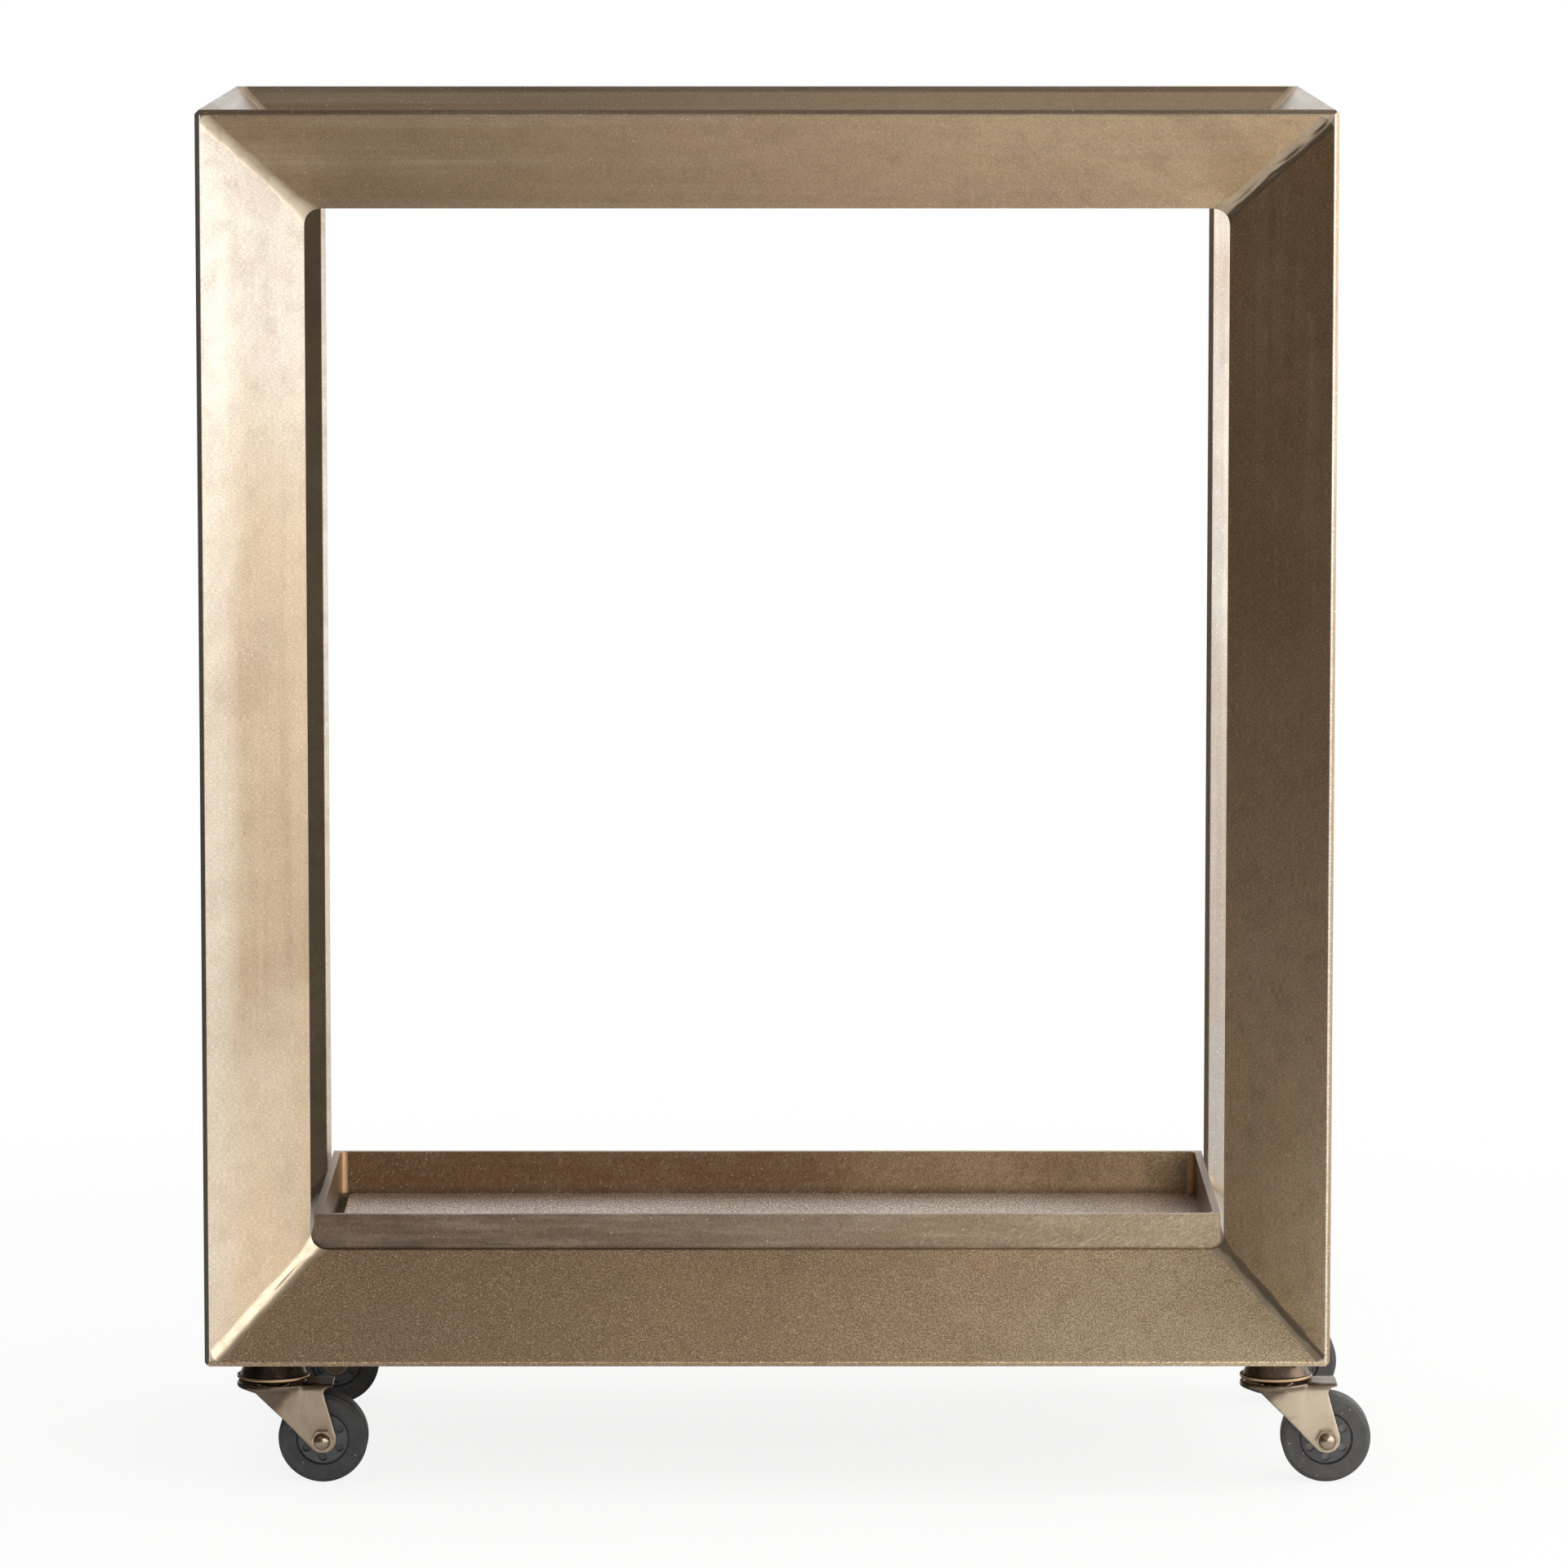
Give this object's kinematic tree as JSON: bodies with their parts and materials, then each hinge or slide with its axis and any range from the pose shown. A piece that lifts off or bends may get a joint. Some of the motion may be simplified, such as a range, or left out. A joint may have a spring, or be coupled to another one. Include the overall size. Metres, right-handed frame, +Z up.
{
  "type": "bar cart",
  "caption": "Box-framed bar cart: sloping steel plates round an open bay, a recessed top shelf, a rimmed lower tray and swivel casters under the corners.",
  "frame": {"origin": "on the floor under the middle of the box frame", "axes": "+Z up, +X along the cart's length to the right seen from the front, -Y towards the front"},
  "size_m": [0.7806, 0.3994, 0.9237],
  "materials": {
    "frame_bronze": "antique bronze plated steel plate, brushed, with weld marks",
    "shelf_bronze": "antique bronze plated steel sheet",
    "tray_bronze": "antique bronze plated flat bar, brushed along its length",
    "tray_floor_bronze": "antique bronze plated sheet with a speckled patina",
    "caster_bronze": "bronze plated pressed steel",
    "fastener_steel": "dark bronze plated fasteners",
    "bearing_steel": "polished bearing steel",
    "hub_plastic": "dark grey moulded plastic",
    "tyre_rubber": "dark grey rubber with dust"
  },
  "bodies": {
    "cart": {"front_top_rail": "frame_bronze", "front_bottom_rail": "frame_bronze", "rear_top_rail": "frame_bronze", "rear_bottom_rail": "frame_bronze", "left_top_rail": "frame_bronze", "left_bottom_rail": "frame_bronze", "right_top_rail": "frame_bronze", "right_bottom_rail": "frame_bronze", "front_left_post": "frame_bronze", "front_right_post": "frame_bronze", "rear_left_post": "frame_bronze", "rear_right_post": "frame_bronze", "corner_welds": "frame_bronze", "top_shelf": "shelf_bronze", "tray_front_bar": "tray_bronze", "tray_rear_bar": "tray_bronze", "tray_left_bar": "tray_bronze", "tray_right_bar": "tray_bronze", "tray_floor": "tray_floor_bronze", "tray_welds": "tray_bronze", "caster_bolts": "fastener_steel", "caster_nuts": "fastener_steel", "swivel_balls": "bearing_steel", "front_left_gusset": "frame_bronze", "front_left_caster_head": "caster_bronze", "front_left_kingpin": "fastener_steel", "front_right_gusset": "frame_bronze", "front_right_caster_head": "caster_bronze", "front_right_kingpin": "fastener_steel", "rear_left_gusset": "frame_bronze", "rear_left_caster_head": "caster_bronze", "rear_left_kingpin": "fastener_steel", "rear_right_gusset": "frame_bronze", "rear_right_caster_head": "caster_bronze", "rear_right_kingpin": "fastener_steel"},
    "front_left_swivel": {"front_left_fork": "caster_bronze", "front_left_axle": "fastener_steel", "front_left_cap_nut": "fastener_steel", "front_left_sleeve": "fastener_steel"},
    "front_left_wheel": {"front_left_wheel_hub": "hub_plastic", "front_left_tyre": "tyre_rubber"},
    "front_right_swivel": {"front_right_fork": "caster_bronze", "front_right_axle": "fastener_steel", "front_right_cap_nut": "fastener_steel", "front_right_sleeve": "fastener_steel"},
    "front_right_wheel": {"front_right_wheel_hub": "hub_plastic", "front_right_tyre": "tyre_rubber"},
    "rear_left_swivel": {"rear_left_fork": "caster_bronze", "rear_left_axle": "fastener_steel", "rear_left_cap_nut": "fastener_steel", "rear_left_sleeve": "fastener_steel"},
    "rear_left_wheel": {"rear_left_wheel_hub": "hub_plastic", "rear_left_tyre": "tyre_rubber"},
    "rear_right_swivel": {"rear_right_fork": "caster_bronze", "rear_right_axle": "fastener_steel", "rear_right_cap_nut": "fastener_steel", "rear_right_sleeve": "fastener_steel"},
    "rear_right_wheel": {"rear_right_wheel_hub": "hub_plastic", "rear_right_tyre": "tyre_rubber"}
  },
  "joints": [
    {"name": "front_left_swivel_turn", "type": "hinge", "parent": "cart", "child": "front_left_swivel", "pos_m": [-0.3324, -0.138, 0.065], "axis": [0, 0, 1], "continuous": true},
    {"name": "front_left_wheel_spin", "type": "hinge", "parent": "front_left_swivel", "child": "front_left_wheel", "pos_m": [-0.2989, -0.138, 0.03], "axis": [0, -1, 0], "continuous": true},
    {"name": "front_right_swivel_turn", "type": "hinge", "parent": "cart", "child": "front_right_swivel", "pos_m": [0.3424, -0.138, 0.065], "axis": [0, 0, 1], "continuous": true},
    {"name": "front_right_wheel_spin", "type": "hinge", "parent": "front_right_swivel", "child": "front_right_wheel", "pos_m": [0.3759, -0.138, 0.03], "axis": [0, -1, 0], "continuous": true},
    {"name": "rear_left_swivel_turn", "type": "hinge", "parent": "cart", "child": "rear_left_swivel", "pos_m": [-0.3374, 0.138, 0.065], "axis": [0, 0, 1], "continuous": true},
    {"name": "rear_left_wheel_spin", "type": "hinge", "parent": "rear_left_swivel", "child": "rear_left_wheel", "pos_m": [-0.3039, 0.138, 0.03], "axis": [0, -1, 0], "continuous": true},
    {"name": "rear_right_swivel_turn", "type": "hinge", "parent": "cart", "child": "rear_right_swivel", "pos_m": [0.3374, 0.138, 0.065], "axis": [0, 0, 1], "continuous": true},
    {"name": "rear_right_wheel_spin", "type": "hinge", "parent": "rear_right_swivel", "child": "rear_right_wheel", "pos_m": [0.3709, 0.138, 0.03], "axis": [0, -1, 0], "continuous": true}
  ]
}
